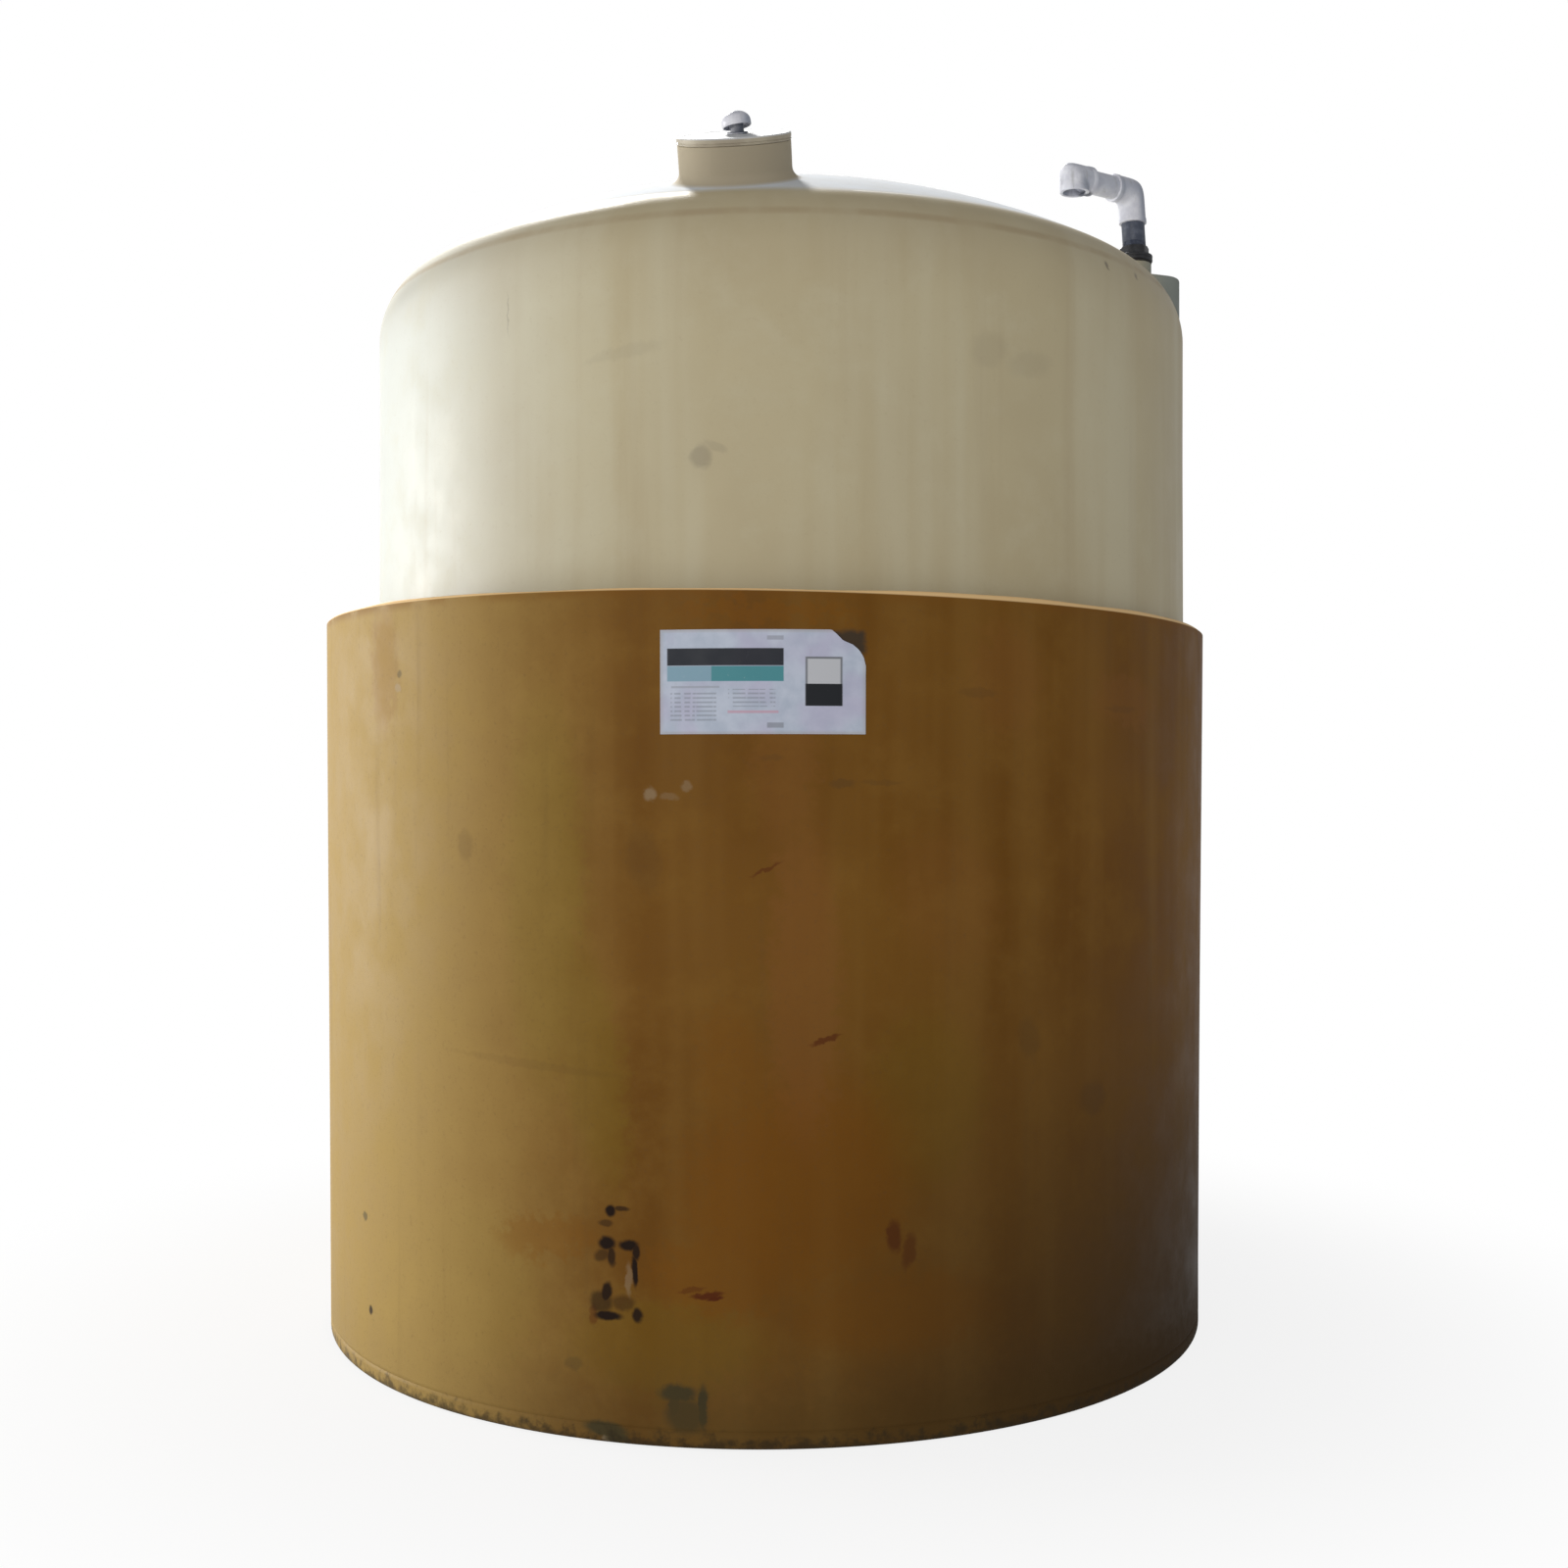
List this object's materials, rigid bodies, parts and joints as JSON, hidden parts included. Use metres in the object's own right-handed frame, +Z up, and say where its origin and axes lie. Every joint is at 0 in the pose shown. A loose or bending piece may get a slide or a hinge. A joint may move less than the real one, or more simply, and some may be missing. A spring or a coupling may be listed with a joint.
{
  "type": "vertical storage tank",
  "caption": "Domed vertical plastic storage tank standing in an open-top cylindrical containment basin, with a lidded neck, a mushroom vent and a gooseneck vent.",
  "frame": {"origin": "centre of the basin's underside, on the ground", "axes": "+Z up; the label and the lid are on the -Y side, the gooseneck vent is at +X"},
  "size_m": [2.744, 2.7446, 3.5935],
  "materials": {
    "basin_plastic": "weathered matte mustard-tan moulding",
    "tank_plastic": "weathered matte ivory moulding",
    "lid_plastic": "matte ivory moulding",
    "vent_white": "satin white pipe plastic",
    "fitting_black": "satin black fitting",
    "gasket_rubber": "matte black rubber",
    "nipple_slate": "satin dark grey plastic",
    "label_sheet": "satin printed vinyl, bare of words"
  },
  "bodies": {
    "root": {"basin_floor": "basin_plastic", "basin_wall_1": "basin_plastic", "basin_wall_2": "basin_plastic", "basin_wall_3": "basin_plastic", "basin_wall_4": "basin_plastic", "basin_wall_5": "basin_plastic", "basin_wall_6": "basin_plastic", "basin_wall_7": "basin_plastic", "basin_wall_8": "basin_plastic", "tank_bottom": "tank_plastic", "tank_wall_1": "tank_plastic", "tank_wall_2": "tank_plastic", "tank_wall_3": "tank_plastic", "tank_wall_4": "tank_plastic", "tank_wall_5": "tank_plastic", "tank_wall_6": "tank_plastic", "tank_wall_7": "tank_plastic", "tank_wall_8": "tank_plastic", "tank_dome": "tank_plastic", "fitting_pad": "tank_plastic", "lid_neck": "tank_plastic", "lid": "lid_plastic", "lid_vent_stem": "vent_white", "lid_vent_cap": "vent_white", "vent_boss": "tank_plastic", "vent_gasket": "gasket_rubber", "vent_flange": "fitting_black", "vent_hexagon": "fitting_black", "vent_nipple": "nipple_slate", "vent_upper_elbow": "vent_white", "vent_run": "vent_white", "vent_outlet_elbow": "vent_white", "label": "label_sheet"}
  },
  "joints": []
}
